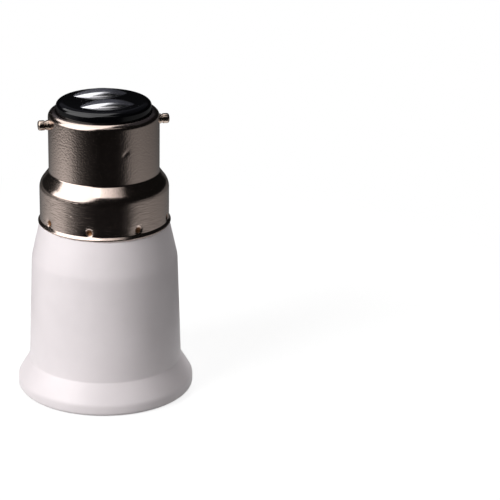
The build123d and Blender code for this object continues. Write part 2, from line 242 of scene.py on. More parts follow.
sector_start = lead_hole_angles[0] - sector_half
body_chain = rounded([
    (skirt_pocket_radius, floor_underside, 0),
    (skirt_pocket_radius, pocket_end, 0),
    (pocket_radius, pocket_end, 0),
    (pocket_radius, shell_edge - shell_clearance, 0),
    (pocket_edge_radius, shell_edge - shell_clearance, ledge_edge_radius),
    (mouth_radius, 0, mouth_edge_radius),
    (lip_radius, 0, lip_edge_radius),
    (lip_radius, lip_height, lip_flare_radius),
    (wall_base_radius, flare_top, flare_crease_radius),
    (shoulder_radius, shoulder_height, shoulder_crease_radius),
    (body_top_radius, body_top, body_top_edge),
    (neck_radius, body_top, 0),
    (neck_radius, crimp_height - groove_half_width, 0),
    (groove_radius, crimp_height - groove_half_width, 0),
    (groove_radius, crimp_height + groove_half_width, 0),
    (neck_radius, crimp_height + groove_half_width, 0),
    (neck_radius, neck_top, neck_edge_radius),
    (neck_bore_radius, neck_top, neck_edge_radius),
    (neck_bore_radius, body_top, 0),
])
pedestal_chain = np.array([
    (pedestal_radius, floor_underside),
    (pedestal_radius, pedestal_end),
    (rivet_hole_radius, pedestal_end),
    (rivet_hole_radius, body_top),
])
wall_outline = rounded([
    (wall_bore_radius, wall_seam_height, 0),
    (wall_bore_radius, wall_end, wall_edge_radius),
    (wall_outer_radius, wall_end, wall_edge_radius),
    (wall_outer_radius, skirt_end + shell_clearance, 0),
    (skirt_pocket_radius + wall_foot_depth, skirt_end + shell_clearance, 0),
    (skirt_pocket_radius + wall_foot_depth, floor_underside + wall_foot_depth, 0),
    (wall_bore_radius, floor_underside + wall_foot_depth, 0),
    (wall_bore_radius, wall_seam_height, 0),
])
wall_middle = np.array([[(wall_bore_radius + wall_outer_radius) / 2, (skirt_end + floor_underside) / 2]])
body_grids = [
    turned(body_chain, body_columns, sector_start),
    turned(pedestal_chain, body_columns, sector_start),
]
for hole_angle in lead_hole_angles:
    underside = pierced_floor(pedestal_radius, skirt_pocket_radius, floor_underside, hole_angle)
    topside = pierced_floor(rivet_hole_radius, neck_bore_radius, body_top, hole_angle)
    body_grids += [underside, topside, np.stack([underside[0], topside[0]])]
for wall_start in wall_starts:
    wall = turned(wall_outline, wall_columns, wall_start, wall_sweep)
    wall_core = turned(np.repeat(wall_middle, len(wall_outline), 0), wall_columns, wall_start, wall_sweep)
    body_grids += [wall]
    body_grids += [np.stack([wall[:, end], wall_core[:, end]]) for end in (0, -1)]
body = welded_piece("white_body", body_grids, white_pbt)
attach(body, "root")
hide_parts("socket_body")

# Screw shell: a thin aluminium sheet rolled into the round lamp thread, with a plain skirt beyond it that
# slides between the body and its inner walls. The thread is one right-hand helix that runs out at both ends.
thread_bore = next(mount for mount in frame["record"]["mounts"] if mount["name"] == "screw_socket")
crest_radius = thread_bore["dims"]["r_mm"]
thread_pitch = 3.629
thread_depth = 1.1
root_radius = crest_radius + thread_depth
thread_arc = (thread_pitch ** 2 / 4 + thread_depth ** 2) / (4 * thread_depth)
shell_sheet = 0.3
shell_skirt_radius = 12.45
shell_edge_band = 1.5
thread_start = shell_edge + shell_edge_band
thread_turns = 2.3
thread_run_out = 0.3
skirt_blend_start = 16.1
skirt_blend_end = 17.3
shell_step = 0.1
skirt_rows = 12
shell_columns = 240


def eased(value, low, high):
    """A smooth step from 0 at low to 1 at high: 3 t squared minus 2 t cubed."""
    share = np.clip((value - low) / (high - low), 0, 1)
    return share * share * (3 - 2 * share)


def within(value, rise, fall):
    """1 between two soft edges: it eases up from 0 over the first pair of values, down over the second."""
    return eased(value, *rise) * (1 - eased(value, *fall))


def rolled_thread(angle, height):
    """Inner radius of the shell. The nearest turn's crest lies at start + pitch * turns. Within a quarter
    pitch of it the section is a crest arc, beyond it a root arc, both of one radius and tangent. The ridge
    grows and fades over the first and last part of a turn, and the radius then narrows to the skirt's."""
    turns = (height - thread_start) / thread_pitch
    turn = angle / TURN + np.round(turns - angle / TURN)
    gap = np.abs(turns - turn) * thread_pitch
    arc_gap = np.where(gap <= thread_pitch / 4, gap, thread_pitch / 2 - gap)
    rise = thread_arc - np.sqrt(thread_arc ** 2 - arc_gap ** 2)
    section = np.where(gap <= thread_pitch / 4, crest_radius + rise, root_radius - rise)
    ridge = within(turn, (0, thread_run_out), (thread_turns - thread_run_out, thread_turns))
    threaded = root_radius - ridge * (root_radius - section)
    narrowing = eased(height, skirt_blend_start, skirt_blend_end)
    return np.minimum(threaded, root_radius - narrowing * (root_radius - shell_skirt_radius))


# Rolled aluminium is bright and nearly white, with fine lines round it where the rollers ran.
roll_line_width = 0.12
roll_line_length = 2.4
rolled_aluminium = new_finish("rolled_aluminium")
place = node(rolled_aluminium, "TexCoord").outputs["Object"]
roll_ratio = roll_line_width / roll_line_length
squeeze = node(rolled_aluminium, "Mapping", {"Vector": place, "Scale": (roll_ratio, roll_ratio, 1.0)})
lines = node(rolled_aluminium, "TexNoise", {
    "Vector": squeeze, "Scale": 1 / (roll_line_width * MM), "Detail": 2.0})
haze = node(rolled_aluminium, "MapRange", {"Value": lines, "To Min": 0.2, "To Max": 0.36})
rolled_skin = node(rolled_aluminium, "Bump", {"Height": lines, "Strength": 0.25, "Distance": 0.02 * MM})
aluminium = node(rolled_aluminium, "BsdfPrincipled", {
    "Base Color": linear("#e6e4e4"), "Metallic": 1.0, "Roughness": haze, "Normal": rolled_skin})
node(rolled_aluminium, "OutputMaterial", {"Surface": aluminium})

shell_height = np.concatenate([
    np.arange(shell_edge, skirt_blend_end, shell_step),
    np.linspace(skirt_blend_end, skirt_end, skirt_rows),
])
shell_angle = np.linspace(0, TURN, shell_columns + 1)
shell_inside = rolled_thread(shell_angle[None], shell_height[:, None])
shell_radius = np.concatenate([shell_inside, shell_inside[::-1] + shell_sheet, shell_inside[:1]])
shell_level = np.concatenate([shell_height, shell_height[::-1], shell_height[:1]])[:, None]
shell_grid = round_axis(shell_radius, shell_angle, shell_level)
shell = welded_piece("rolled_shell", [shell_grid], rolled_aluminium)
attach(shell, "root")
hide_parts("screw_shell")

# Centre contact: a copper rivet, headed cold, set through the pedestal and spread above the floor.
# Its domed head carries the bulb's tip, and a dimple in the middle is left by the heading punch.
head_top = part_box("centre_contact")[0].z / MM
tail_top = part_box("centre_contact")[1].z / MM
head_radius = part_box("centre_contact")[1].x / MM
shank_radius = 1.4
tail_radius = 2.3
tail_edge_radius = 0.3
dimple_radius = 0.9
dimple_depth = 0.5
head_points = 49
rivet_columns = 96

# Bare copper is a soft pink metal that dulls and goes brown where a bulb's tip has sat on it.
# A Mix node takes two numbers in sockets 2 and 3, or two colours in 6 and 7 with the result in output 2.
stain_radius = 2.2
stain_fade_width = 0.8
stain_ragged_width = 2.4
scratch_width = 0.25
bare_copper = new_finish("bare_copper")
place = node(bare_copper, "TexCoord").outputs["Object"]
scratches = node(bare_copper, "TexNoise", {
    "Vector": place, "Scale": 1 / (scratch_width * MM), "Detail": 4.0, "Distortion": 1.5})
flat_place = node(bare_copper, "VectorMath", {0: place, 1: (1, 1, 0)}, operation="MULTIPLY")
reach = node(bare_copper, "VectorMath", {0: flat_place}, operation="LENGTH").outputs["Value"]
ragged = node(bare_copper, "Math", {
    0: scratches, 1: stain_ragged_width * MM, 2: reach}, operation="MULTIPLY_ADD")
stain = node(bare_copper, "MapRange", {
    "Value": ragged, "From Min": stain_radius * MM, "From Max": (stain_radius + stain_fade_width) * MM})
patina = node(bare_copper, "Mix", {
    "Factor": stain, 6: linear("#5a3526"), 7: linear("#e0a48c")}, data_type="RGBA")
dulling = node(bare_copper, "MapRange", {"Value": stain, "To Min": 0.6, "To Max": 0.3})
copper_skin = node(bare_copper, "Bump", {"Height": scratches, "Strength": 0.3, "Distance": 0.05 * MM})
copper = node(bare_copper, "BsdfPrincipled", {
    "Base Color": patina.outputs[2], "Metallic": 1.0, "Roughness": dulling, "Normal": copper_skin})
node(bare_copper, "OutputMaterial", {"Surface": copper})

head_reach = np.sin(np.linspace(0, TURN / 4, head_points)) * head_radius
head_dome = pedestal_end - (pedestal_end - head_top) * np.sqrt(1 - (head_reach / head_radius) ** 2)
head_dome += dimple_depth * (1 - eased(head_reach, 0, dimple_radius))
rivet_chain = np.concatenate([
    np.stack([head_reach, head_dome], -1),
    rounded([
        (shank_radius, pedestal_end, 0),
        (shank_radius, body_top, 0),
        (tail_radius, body_top, 0),
        (tail_radius, tail_top, tail_edge_radius),
        (0, tail_top, 0),
    ]),
])
rivet = welded_piece("rivet_contact", [turned(rivet_chain, rivet_columns)], bare_copper)
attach(rivet, "root")
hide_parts("centre_contact")

# Inner leads: two insulated copper wires from the rivet and the screw shell up to the cap's contacts, with
# their ends soldered. They are hidden inside and keep their solids.

# Drawn copper wire is bright and pink, dulled a little by fine lines from the die.
draw_line_width = 0.1
lead_copper = new_finish("drawn_copper_wire")
place = node(lead_copper, "TexCoord").outputs["Object"]
draw_lines = node(lead_copper, "TexNoise", {
    "Vector": place, "Scale": 1 / (draw_line_width * MM), "Detail": 2.0})
wire_haze = node(lead_copper, "MapRange", {"Value": draw_lines, "To Min": 0.25, "To Max": 0.4})
wire = node(lead_copper, "BsdfPrincipled", {
    "Base Color": linear("#dc9a76"), "Metallic": 1.0, "Roughness": wire_haze})
node(lead_copper, "OutputMaterial", {"Surface": wire})

# Soft PVC sleeving is off-white and a little waxy.
wax_width = 0.5
lead_pvc = new_finish("extruded_pvc_sleeve")
place = node(lead_pvc, "TexCoord").outputs["Object"]
wax = node(lead_pvc, "TexNoise", {"Vector": place, "Scale": 1 / (wax_width * MM)})
wax_haze = node(lead_pvc, "MapRange", {"Value": wax, "To Min": 0.4, "To Max": 0.55})
sleeve = node(lead_pvc, "BsdfPrincipled", {
    "Base Color": linear("#e4e0d8"), "Roughness": wax_haze, "IOR": 1.53})
node(lead_pvc, "OutputMaterial", {"Surface": sleeve})

# Soft solder sets with a grey skin, dull and slightly frosted.
frost_width = 0.2
soft_solder = new_finish("soft_solder")
place = node(soft_solder, "TexCoord").outputs["Object"]
frost = node(soft_solder, "TexNoise", {"Vector": place, "Scale": 1 / (frost_width * MM), "Detail": 3.0})
frost_haze = node(soft_solder, "MapRange", {"Value": frost, "To Min": 0.3, "To Max": 0.55})
solder = node(soft_solder, "BsdfPrincipled", {
    "Base Color": linear("#cfcfd1"), "Metallic": 1.0, "Roughness": frost_haze})
node(soft_solder, "OutputMaterial", {"Surface": solder})

hidden_finishes = {"_core": lead_copper, "_sleeve": lead_pvc, "solder_": soft_solder}
for key, finish in hidden_finishes.items():
    for name, solid in frame["nodes"].items():
        if key in name:
            solid.material_slots[0].material = finish

# Insulator: a pressed disc of black phenolic moulding. A flange sits under the cap's rolled edge, and a boss
# with a rounded edge stands out of it and carries the two contacts.
contact_height = 1.1
boss_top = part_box("contact_front")[1].z / MM - contact_height
insulator_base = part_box("insulator")[0].z / MM
insulator_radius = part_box("insulator")[1].x / MM
insulator_edge_radius = 0.2
boss_radius = 9.42
boss_edge_width = 1.4
boss_edge_drop = 1.0
flange_top = 57.77
flange_edge_radius = 1.1
recess_radius = 7.7
recess_depth = 2.0
recess_roof = insulator_base + recess_depth
boss_edge_points = 25
insulator_columns = 192

# Phenolic pressed in a polished mould is jet black and glossy, with faint flow marks in the gloss.
flow_width = 2.5
black_phenolic = new_finish("pressed_black_phenolic")
place = node(black_phenolic, "TexCoord").outputs["Object"]
flow = node(black_phenolic, "TexNoise", {
    "Vector": place, "Scale": 1 / (flow_width * MM), "Detail": 4.0, "Distortion": 0.8})
gloss = node(black_phenolic, "MapRange", {"Value": flow, "To Min": 0.07, "To Max": 0.14})
flow_skin = node(black_phenolic, "Bump", {"Height": flow, "Strength": 0.06, "Distance": 0.05 * MM})
phenolic = node(black_phenolic, "BsdfPrincipled", {
    "Base Color": linear("#060608"), "Roughness": gloss, "IOR": 1.5, "Normal": flow_skin})
node(black_phenolic, "OutputMaterial", {"Surface": phenolic})

edge_turn = np.linspace(TURN / 4, 0, boss_edge_points)
boss_edge = np.stack([
    boss_radius - boss_edge_width * (1 - np.cos(edge_turn)),
    boss_top - boss_edge_drop * (1 - np.sin(edge_turn)),
], -1)
flange_chain = rounded([
    (boss_radius, boss_top - boss_edge_drop, 0),
    (boss_radius, flange_top, 0),
    (insulator_radius, flange_top, flange_edge_radius),
    (insulator_radius, insulator_base, insulator_edge_radius),
    (recess_radius, insulator_base, insulator_edge_radius),
    (recess_radius, recess_roof, insulator_edge_radius),
    (0, recess_roof, 0),
])
insulator_chain = np.concatenate([[(0, boss_top)], boss_edge, flange_chain])
insulator_grid = turned(insulator_chain, insulator_columns)
insulator_disc = welded_piece("insulator_disc", [insulator_grid], black_phenolic)
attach(insulator_disc, "root")
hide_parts("insulator")

# Cap contacts: two long low domes of tinned brass, pressed with pointed ends, each on a stem through the
# insulator. The lamp holder's sprung plungers bear on them. Both lean a little, as they were pressed in.
contact_low, contact_high = np.array(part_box("contact_front")) / MM
contact_half_length = contact_high[0]
contact_half_width = (contact_high[1] - contact_low[1]) / 2
contact_pitch = 7.5
crown_power = 3.6
crown_share = 0.88
contact_leans = {"front": 8, "rear": 11}
contact_tuck = 0.45
stem_radius = 1.1
stem_end = contact_low[2]
stem_tuck = 0.1
dome_rows = 97
dome_columns = 49
stem_columns = 48

# Tin plate over brass is bright silver. Handling leaves it slightly wavy, with fine scuffs.
wave_width = 2.0
scuff_width = 0.3
tin_plate = new_finish("bright_tin_plate")
place = node(tin_plate, "TexCoord").outputs["Object"]
waves = node(tin_plate, "TexNoise", {"Vector": place, "Scale": 1 / (wave_width * MM), "Detail": 1.0})
scuffs = node(tin_plate, "TexNoise", {"Vector": place, "Scale": 1 / (scuff_width * MM), "Detail": 3.0})
tin_haze = node(tin_plate, "MapRange", {"Value": scuffs, "To Min": 0.15, "To Max": 0.26})
wavy_skin = node(tin_plate, "Bump", {"Height": waves, "Strength": 0.5, "Distance": 0.06 * MM})
tin = node(tin_plate, "BsdfPrincipled", {
    "Base Color": linear("#dcdbdf"), "Metallic": 1.0, "Roughness": tin_haze, "Normal": wavy_skin})
node(tin_plate, "OutputMaterial", {"Surface": tin})

crown_radius = (contact_half_width ** 2 + contact_height ** 2) / (2 * contact_height)
crown_base = crown_radius - contact_height
crown_arc = (contact_half_length ** 2 + contact_height ** 2) / (2 * contact_height)


def pressed_dome(along, across, lean):
    """A long dome. Its ridge is an arc over the length, and its outline two arcs that meet in points. Across
    it, at the part v of the half width, the height is crown share times ridge times (1 - v to the crown
    power). The lean adds its slope times the distance from the middle line."""
    ridge = np.sqrt(crown_arc ** 2 - along ** 2) - crown_arc + contact_height
    half_width = np.sqrt((crown_base + ridge) ** 2 - crown_base ** 2)
    height = boss_top + crown_share * ridge * (1 - np.abs(across) ** crown_power)
    height = height + across * half_width * math.tan(math.radians(lean))
    return np.stack([along + 0 * height, across * half_width, height], -1)


dome_along = contact_half_length * np.sin(np.linspace(-TURN / 4, TURN / 4, dome_rows))[:, None]
dome_across = np.sin(np.linspace(-TURN / 4, TURN / 4, dome_columns))[None]
stem_chain = np.array([
    (0, stem_end),
    (stem_radius, stem_end),
    (stem_radius, boss_top + stem_tuck),
    (0, boss_top + stem_tuck),
])
stem = turned(stem_chain, stem_columns)
for name, side in (("front", -1), ("rear", 1)):
    shift = (0, side * contact_pitch / 2, 0)
    dome = pressed_dome(dome_along, dome_across, contact_leans[name])
    dome_base = dome * (1, 1, 0) + (0, 0, boss_top - contact_tuck)
    dome_band = np.stack([np.concatenate([grid[:, 0], grid[::-1, -1]]) for grid in (dome, dome_base)])
    contact = welded_piece(
        f"tinned_contact_{name}", [grid + shift for grid in (dome, dome_base, dome_band, stem)], tin_plate)
    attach(contact, "root")
    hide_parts(f"contact_{name}")

# Bayonet pins: two turned brass pins, plated like the cap. A collar sits on the barrel, then comes a shallow
# neck and a round nose, and a thinner shank is pressed through the barrel into the insulator.
pin_height = (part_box("bayonet_pin_right")[0].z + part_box("bayonet_pin_right")[1].z) / 2 / MM
pin_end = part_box("bayonet_pin_right")[1].x / MM
pin_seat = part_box("bayonet_pin_right")[0].x / MM
barrel_radius = 11.0
pin_radius = 1.0
pin_shank_radius = 0.75
pin_collar = 0.45
pin_neck = 0.4
pin_neck_depth = 0.12
pin_nose_radius = 0.4
pin_edge_radius = 0.08
pin_seat_edge_radius = 0.1
pin_tuck = 0.1
pin_columns = 64

# Nickel plate is a warm grey mirror. On turned pins it keeps faint rings from the lathe.
lathe_ring_width = 0.1
lathe_ring_length = 1.0
pin_nickel = new_finish("nickel_plated_pin")
place = node(pin_nickel, "TexCoord").outputs["Object"]
ring_ratio = lathe_ring_width / lathe_ring_length
rings = node(pin_nickel, "Mapping", {"Vector": place, "Scale": (1.0, ring_ratio, ring_ratio)})
ring_lines = node(pin_nickel, "TexNoise", {
    "Vector": rings, "Scale": 1 / (lathe_ring_width * MM), "Detail": 2.0})
pin_haze = node(pin_nickel, "MapRange", {"Value": ring_lines, "To Min": 0.12, "To Max": 0.24})
pin_skin = node(pin_nickel, "Bump", {"Height": ring_lines, "Strength": 0.15, "Distance": 0.02 * MM})
plated_pin = node(pin_nickel, "BsdfPrincipled", {
    "Base Color": linear("#c2b1a4"), "Metallic": 1.0, "Roughness": pin_haze, "Normal": pin_skin})
node(pin_nickel, "OutputMaterial", {"Surface": plated_pin})

collar_end = barrel_radius + pin_collar
neck_end = collar_end + pin_neck
pin_chain = rounded([
    (0, pin_seat, 0),
    (pin_shank_radius, pin_seat, pin_seat_edge_radius),
    (pin_shank_radius, barrel_radius - pin_tuck, 0),
    (pin_radius, barrel_radius - pin_tuck, 0),
    (pin_radius, collar_end, pin_edge_radius),
    (pin_radius - pin_neck_depth, collar_end, 0),
    (pin_radius - pin_neck_depth, neck_end, 0),
    (pin_radius, neck_end, pin_edge_radius),
    (pin_radius, pin_end, pin_nose_radius),
    (0, pin_end, 0),
])
pin_upright = turned(pin_chain, pin_columns)
for name, side in (("left", -1), ("right", 1)):
    pin_grid = pin_upright[..., [2, 0, 1]] * (side, 1, 1) + (0, 0, pin_height)
    pin = welded_piece(f"plated_pin_{name}", [pin_grid], pin_nickel)
    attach(pin, "root")
    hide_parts(f"bayonet_pin_{name}")

# Bayonet cap: one drawn brass sheet, nickel plated, with flared rim, skirt, shoulder, barrel and rolled top
# edge. Eight punches round the skirt crimp it to the body's neck, and a knock has dented the barrel.
barrel_top = 58.2
opening_radius = 9.5
opening_edge_radius = 0.1
cap_sheet = 0.35
skirt_radius = 12.88
rim_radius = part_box("bayonet_cap")[1].x / MM
rim_band = 0.3
rim_height = 0.8
rim_edge_radius = 0.17
rim_bend_radius = 0.25
skirt_length = 8.1
skirt_top = body_top + skirt_length
shoulder_length = 2.5
barrel_base = skirt_top + shoulder_length
shoulder_edge_radius = 3.0
cap_bend_radius = 0.6
barrel_edge_radius = 1.25
inner_barrel_drop = 0.1
inner_skirt_drop = 0.2
inner_rim_lift = 0.1
sheet_step = 0.2
inner_step = 1.2
cap_columns = 400
crimp_count = 8
crimp_start = 20.5
crimp_reach = 0.95
crimp_depth = 0.35
crimp_dish_reach = 1.25
crimp_dish_depth = 0.2
dent_angle = -78
dent_height = 52.3
dent_lean = 40
dent_length = 0.8
dent_width = 0.36
dent_depth = 0.1


def stepped(outline, step):
    """The outline with extra points at equal steps along its length, its own points kept."""
    run = np.concatenate([[0], np.cumsum(np.linalg.norm(np.diff(outline, axis=0), axis=1))])
    marks = np.union1d(run, np.arange(0, run[-1], step))
    return np.stack([np.interp(marks, run, outline[:, 0]), np.interp(marks, run, outline[:, 1])], -1)


def crimp_distance(angle, height):
    """How far a point of the skirt is from the middle of the nearest crimp, along the sheet."""
    spacing = TURN / crimp_count
    offset = (angle - math.radians(crimp_start) + spacing / 2) % spacing - spacing / 2
    return np.hypot(offset * skirt_radius, height - crimp_height)


def sheet_push(angle, height):
    """How far the sheet is pushed towards the axis. Each crimp is a bell (1 - d squared) squared inside its
    reach d = 1 on a wide shallow dish, and the dent is a long leaning bell exp(-u squared - v squared)."""
    distance = crimp_distance(angle, height)
    push = crimp_depth * (1 - np.clip(distance / crimp_reach, 0, 1) ** 2) ** 2
    push += crimp_dish_depth * np.exp(-(distance / crimp_dish_reach) ** 2) * (height < skirt_top)
    sideways = ((angle - math.radians(dent_angle) + TURN / 2) % TURN - TURN / 2) * barrel_radius
    upwards = height - dent_height
    lean = math.radians(dent_lean)
    u = (sideways * math.cos(lean) + upwards * math.sin(lean)) / dent_length
    v = (upwards * math.cos(lean) - sideways * math.sin(lean)) / dent_width
    return push + dent_depth * np.exp(-u ** 2 - v ** 2)


# Nickel plate over drawn brass: a warm grey mirror with a fine grain. On the barrel the grain is a speckle,
# and on the skirt the drawing die left short lines round it. The bends are smoother. In the crimps the
# plate is broken, and the pits are painted dark brown: partly the bared brass, partly painted shade in the
# hollows. Two values on the mesh, one for the grain and one for the pits, say where.
speckle_width = 0.36
die_line_width = 0.3
die_line_length = 1.8
speckle_height = 0.024
die_line_height = 0.07
grain_change = 0.5
cap_nickel = new_finish("nickel_plated_brass")
place = node(cap_nickel, "TexCoord").outputs["Object"]
speckle = node(cap_nickel, "TexNoise", {"Vector": place, "Scale": 1 / (speckle_width * MM), "Detail": 0.0})
line_ratio = die_line_width / die_line_length
die_place = node(cap_nickel, "Mapping", {"Vector": place, "Scale": (line_ratio, line_ratio, 1.0)})
die_lines = node(cap_nickel, "TexNoise", {
    "Vector": die_place, "Scale": 1 / (die_line_width * MM), "Detail": 2.0})
height = node(cap_nickel, "SeparateXYZ", {0: place}).outputs["Z"]
on_barrel = node(cap_nickel, "MapRange", {
    "Value": height,
    "From Min": (skirt_top - grain_change) * MM,
    "From Max": (skirt_top + grain_change) * MM,
})
texture = node(cap_nickel, "Mix", {"Factor": on_barrel, 2: die_lines, 3: speckle})
plate_haze = node(cap_nickel, "MapRange", {"Value": texture, "To Min": 0.12, "To Max": 0.22})
drawn = node(cap_nickel, "Attribute", attribute_name="drawn").outputs["Fac"]
grain_depth = node(cap_nickel, "Mix", {"Factor": on_barrel, 2: die_line_height * MM, 3: speckle_height * MM})
plate_skin = node(cap_nickel, "Bump", {"Height": texture, "Strength": drawn, "Distance": grain_depth})
# Painted shade: in the crimp pits the colour turns dark brown, partly bared brass and partly the shade in
# the hollows.
punched = node(cap_nickel, "Attribute", attribute_name="punched").outputs["Fac"]
plate = node(cap_nickel, "Mix", {
    "Factor": punched, 6: linear("#d2c0b6"), 7: linear("#8d6648")}, data_type="RGBA")
dulled = node(cap_nickel, "Mix", {"Factor": punched, 2: plate_haze, 3: 0.5})
plated_cap = node(cap_nickel, "BsdfPrincipled", {
    "Base Color": plate.outputs[2], "Metallic": 1.0, "Roughness": dulled, "Normal": plate_skin})
node(cap_nickel, "OutputMaterial", {"Surface": plated_cap})

cap_outside = stepped(rounded([
    (rim_radius - cap_sheet / 2, body_top, 0),
    (rim_radius, body_top, rim_edge_radius),
    (rim_radius, body_top + rim_band, rim_bend_radius),
    (skirt_radius, body_top + rim_height, rim_bend_radius),
    (skirt_radius, skirt_top, shoulder_edge_radius),
    (barrel_radius, barrel_base, cap_bend_radius),
    (barrel_radius, barrel_top, barrel_edge_radius),
    (opening_radius, barrel_top, opening_edge_radius),
    (opening_radius, barrel_top - cap_sheet, 0),
]), sheet_step)
cap_inside = stepped(rounded([
    (opening_radius, barrel_top - cap_sheet, 0),
    (barrel_radius - cap_sheet, barrel_top - cap_sheet, barrel_edge_radius - cap_sheet),
    (barrel_radius - cap_sheet, barrel_base - inner_barrel_drop, 0),
    (skirt_radius - cap_sheet, skirt_top - inner_skirt_drop, 0),
    (skirt_radius - cap_sheet, body_top + rim_height + inner_rim_lift, 0),
    (rim_radius - cap_sheet, body_top + rim_band, 0),
    (rim_radius - cap_sheet, body_top, rim_edge_radius),
    (rim_radius - cap_sheet / 2, body_top, 0),
]), inner_step)
cap_chain = np.concatenate([cap_outside, cap_inside[1:]])
cap_angle = np.linspace(0, TURN, cap_columns + 1)
cap_push = sheet_push(cap_angle, cap_chain[:, 1:])
cap_grid = round_axis(cap_chain[:, :1] - cap_push, cap_angle, cap_chain[:, 1:])
cap = welded_piece("nickel_cap", [cap_grid], cap_nickel)

# Where the crimp pits are painted dark for bared brass and shade, and where the die ironed the grain out:
# on the shoulder, rim and top edge.
pit_brass_and_shade_edge = (0.55 * crimp_reach, 0.85 * crimp_reach)
ironed_share = 0.8
shoulder_rise = (skirt_top - 1.2, skirt_top - 0.2)
shoulder_fall = (barrel_base, barrel_base + 0.8)
rim_fall = (body_top + rim_height, body_top + rim_height + 0.4)
top_edge_rise = (barrel_top - 1.3, barrel_top - 0.9)
cap_x, cap_y, cap_z = np.array([vertex.co for vertex in cap.data.vertices]).T / MM
pit_brass_and_shade_mask = 1 - eased(crimp_distance(np.arctan2(cap_y, cap_x), cap_z), *pit_brass_and_shade_edge)
on_shoulder = within(cap_z, shoulder_rise, shoulder_fall)
on_rim = 1 - eased(cap_z, *rim_fall)
on_top_edge = eased(cap_z, *top_edge_rise)
grained = 1 - ironed_share * np.max([on_shoulder, on_rim, on_top_edge], 0)
for name, values in (("punched", pit_brass_and_shade_mask), ("drawn", grained)):
    cap.data.attributes.new(name, "FLOAT", "POINT").data.foreach_set("value", values)
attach(cap, "root")
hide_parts("bayonet_cap")

# Studio: a white floor with a soft shadow, a large soft lamp at the left front, a weaker one high at the
# right, and one behind that keeps the far sides light. Metal doesn't see the lamps, but a dark tent with
# glowing faces in it and a dark cloth on the floor. Azimuths count from the camera's side, to its right.
camera_azimuth = -10.6
camera_elevation = 20.546
camera_distance = 443.9
camera_lens = 158.666
camera_aim = (0, 0, 30)
camera_turn = (-0.151, -3.77, -0.427)


def direction(azimuth, elevation):
    """A unit vector from the object towards an azimuth and an elevation in degrees."""
    turn, lift = np.radians(azimuth + camera_azimuth), np.radians(elevation)
    return np.stack([np.sin(turn) * np.cos(lift), -np.cos(turn) * np.cos(lift), np.sin(lift) + 0 * turn], -1)


def stage_sheet(name, grid, finish, glow=None):
    """A grid of points in millimetres as a stage object, with an optional light colour per point."""
    mesh = bpy.data.meshes.new(name)
    mesh.from_pydata((grid.reshape(-1, 3) * MM).tolist(), [], grid_quads(grid).tolist())
    if glow is not None:
        light = mesh.attributes.new("glow", "FLOAT_COLOR", "POINT")
        light.data.foreach_set("color", glow.reshape(-1, 4).ravel())
    mesh.shade_smooth()
    mesh.materials.append(finish)
    sheet = bpy.data.objects.new(name, mesh)
    bpy.context.scene.collection.objects.link(sheet)
    return sheet


def seen_rays(owner):
    """1 for rays that show a surface to the eye, straight, mirrored or through glass, and 0 for others."""
    path = node(owner, "LightPath").outputs
    seen = node(owner, "Math", {0: path["Is Camera Ray"], 1: path["Is Glossy Ray"]}, operation="MAXIMUM")
    return node(owner, "Math", {0: seen, 1: path["Is Transmission Ray"]}, operation="MAXIMUM")


# Floor paper: near the object it is a grey that its own light lifts to white, so it keeps a soft shadow.
# Further out it is plain white to the eye. From below it is clear.
shadow_reach = (60, 130)
paper_lift = 0.81
floor_drop = 0.02
floor_rings = (0, 20, 200, 3000)
floor_columns = 96
floor_paper = new_finish("white_floor_paper")
place = node(floor_paper, "TexCoord").outputs["Object"]
away = node(floor_paper, "VectorMath", {0: place}, operation="LENGTH").outputs["Value"]
far = node(floor_paper, "MapRange", {
    "Value": away, "From Min": shadow_reach[0] * MM, "From Max": shadow_reach[1] * MM},
    interpolation_type="SMOOTHSTEP")
paper = node(floor_paper, "BsdfDiffuse", {"Color": linear("#949494")})
white = node(floor_paper, "Emission", {"Color": (1, 1, 1, 1), "Strength": 1.0})
lift = node(floor_paper, "Emission", {"Color": (1, 1, 1, 1), "Strength": paper_lift})
near = node(floor_paper, "AddShader", {0: paper, 1: lift})
floor_seen = node(floor_paper, "MixShader", {0: far, 1: near, 2: white})
floor_look = node(floor_paper, "MixShader", {0: seen_rays(floor_paper), 1: paper, 2: floor_seen})
under = node(floor_paper, "NewGeometry").outputs["Backfacing"]
clear = node(floor_paper, "BsdfTransparent")
floor_surface = node(floor_paper, "MixShader", {0: under, 1: floor_look, 2: clear})
node(floor_paper, "OutputMaterial", {"Surface": floor_surface})
floor_outline = np.array([(reach, -floor_drop) for reach in floor_rings])
stage_sheet("floor", turned(floor_outline, floor_columns)[::-1], floor_paper)

# Tent and floor cloth: what polished metal sees. Only mirror rays meet them.
studio_glow = new_finish("studio_glow")
glow_colour = node(studio_glow, "Attribute", attribute_name="glow").outputs["Color"]
glow_light = node(studio_glow, "Emission", {"Color": glow_colour, "Strength": 1.0})
node(studio_glow, "OutputMaterial", {"Surface": glow_light})


def between_stops(place, stops):
    """Values along straight lines between stops, each a place and its value."""
    return np.interp(place, list(stops), list(stops.values()))


# The tent is a dome. A place on it is an azimuth and an elevation, or the point where its direction meets a
# level sheet one unit above the object, in units to the camera's right and towards the camera. Each pair of
# values below is the start and the end of a fading edge.
tent_radius = 2900
tent_dark = 0.006
lowest_rise = 0.01
azimuth = np.linspace(-180, 180, 361)[None]
elevation = np.linspace(0, 90, 121)[:, None]
tent_x, tent_y, tent_z = np.moveaxis(direction(azimuth - camera_azimuth, elevation), -1, 0)
right = tent_x / np.maximum(tent_z, lowest_rise)
front = -tent_y / np.maximum(tent_z, lowest_rise)

# Key face: wide and tall at the left front. Its lower edge climbs towards the camera's side.
key_sides = ((-106, -98), (-16, 4))
key_top = (68, 74)
key_edge_fade = (-4, 6)
key_heights = {-100: 2, -52: 4, -36: 10, -30: 16, -20: 40, -11: 54, 0: 64}
key_glows = {-50: 2.4, -25: 1.9, -8: 1.45}
key_edge = [between_stops(azimuth, key_heights) + fade for fade in key_edge_fade]
key_face = within(azimuth, *key_sides) * within(elevation, key_edge, key_top)
key_light = between_stops(azimuth, key_glows) * key_face

